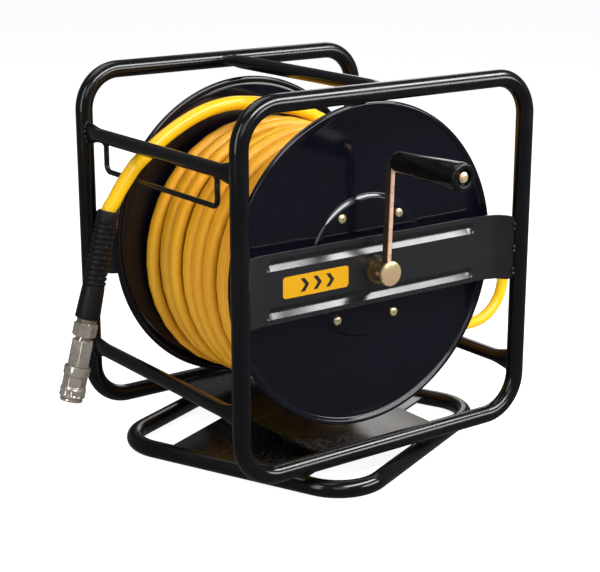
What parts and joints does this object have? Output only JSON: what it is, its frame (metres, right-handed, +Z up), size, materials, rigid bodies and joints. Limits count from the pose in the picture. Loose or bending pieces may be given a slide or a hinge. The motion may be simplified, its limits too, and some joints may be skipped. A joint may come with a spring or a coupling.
{
  "type": "air hose reel",
  "caption": "Hand-cranked air hose reel: two-loop tubular frame on a swivel base, drum of yellow braided hose, crank with a turning grip, inlet lead and quick coupler.",
  "frame": {"origin": "middle of the bounding box's bottom face, without the hose ends: on the floor, on the swivel's x and between the grip's end and the base's reach", "axes": "+Z up along the swivel, +Y along the drum's axle away from the crank, +X to the right as seen from the crank side"},
  "size_m": [0.8233, 0.5245, 0.4465],
  "materials": {
    "frame_black": "gloss black powder coat",
    "drum_black": "gloss black stove enamel on pressed sheet",
    "yellow_zinc": "yellow passivated zinc plate",
    "nickel": "satin nickel plate",
    "brass": "machined brass",
    "hose_bright": "smooth yellow hose cover over a braid",
    "hose_wound": "smooth yellow hose cover over a braid",
    "boot_rubber": "moulded black rubber with ribs",
    "grip_black": "gloss black moulded plastic",
    "nylon": "natural nylon",
    "label_yellow": "plain printed film"
  },
  "bodies": {
    "base": {"base_loop": "frame_black", "base_plate": "frame_black", "swivel_boss": "frame_black", "thrust_washer": "nylon", "swivel_bolt": "yellow_zinc", "swivel_washer": "yellow_zinc", "swivel_nut": "yellow_zinc"},
    "frame": {"front_loop": "frame_black", "rear_loop": "frame_black", "handle_tube": "frame_black", "upper_cross_tube": "frame_black", "lower_left_cross_tube": "frame_black", "lower_right_cross_tube": "frame_black", "hose_guide": "frame_black", "turntable_plate": "frame_black", "front_hub_plate": "frame_black", "rear_hub_plate": "frame_black", "front_bush": "yellow_zinc", "rear_bush": "yellow_zinc", "hub_label": "label_yellow", "inlet_elbow": "brass", "lead_ferrule": "nickel", "lead_hose": "hose_bright", "plug_ferrule": "nickel", "inlet_plug": "nickel", "free_hose": "hose_bright", "hose_boot": "boot_rubber", "coupler_stem": "nickel", "coupler_nut": "nickel", "coupler_body": "nickel"},
    "drum": {"front_flange": "drum_black", "rear_flange": "drum_black", "drum_core": "drum_black", "tie_rods": "yellow_zinc", "front_screws": "yellow_zinc", "rear_screws": "yellow_zinc", "axle": "nickel", "outlet_elbow": "brass", "wound_hose": "hose_wound", "crank_hub": "yellow_zinc", "crank_screw": "yellow_zinc", "crank_arm": "yellow_zinc", "grip_rivet": "yellow_zinc"},
    "grip": {"crank_grip": "grip_black"},
    "coupler_sleeve": {"coupler_sleeve": "nickel"}
  },
  "joints": [
    {"name": "base_swivel", "type": "hinge", "parent": "base", "child": "frame", "pos_m": [0, 0.03399, 0.03], "axis": [0, 0, 1], "continuous": true},
    {"name": "drum_spin", "type": "hinge", "parent": "frame", "child": "drum", "pos_m": [0, 0.03399, 0.235], "axis": [0, 1, 0], "continuous": true},
    {"name": "grip_spin", "type": "hinge", "parent": "drum", "child": "grip", "pos_m": [0.00436, -0.176, 0.35992], "axis": [0, 1, 0], "continuous": true},
    {"name": "sleeve_slide", "type": "slide", "parent": "frame", "child": "coupler_sleeve", "axis": [0.2588, 0, 0.9659], "range_m": [0, 0.005], "stiffness_N_per_m": 800, "springref_m": -0.005}
  ]
}
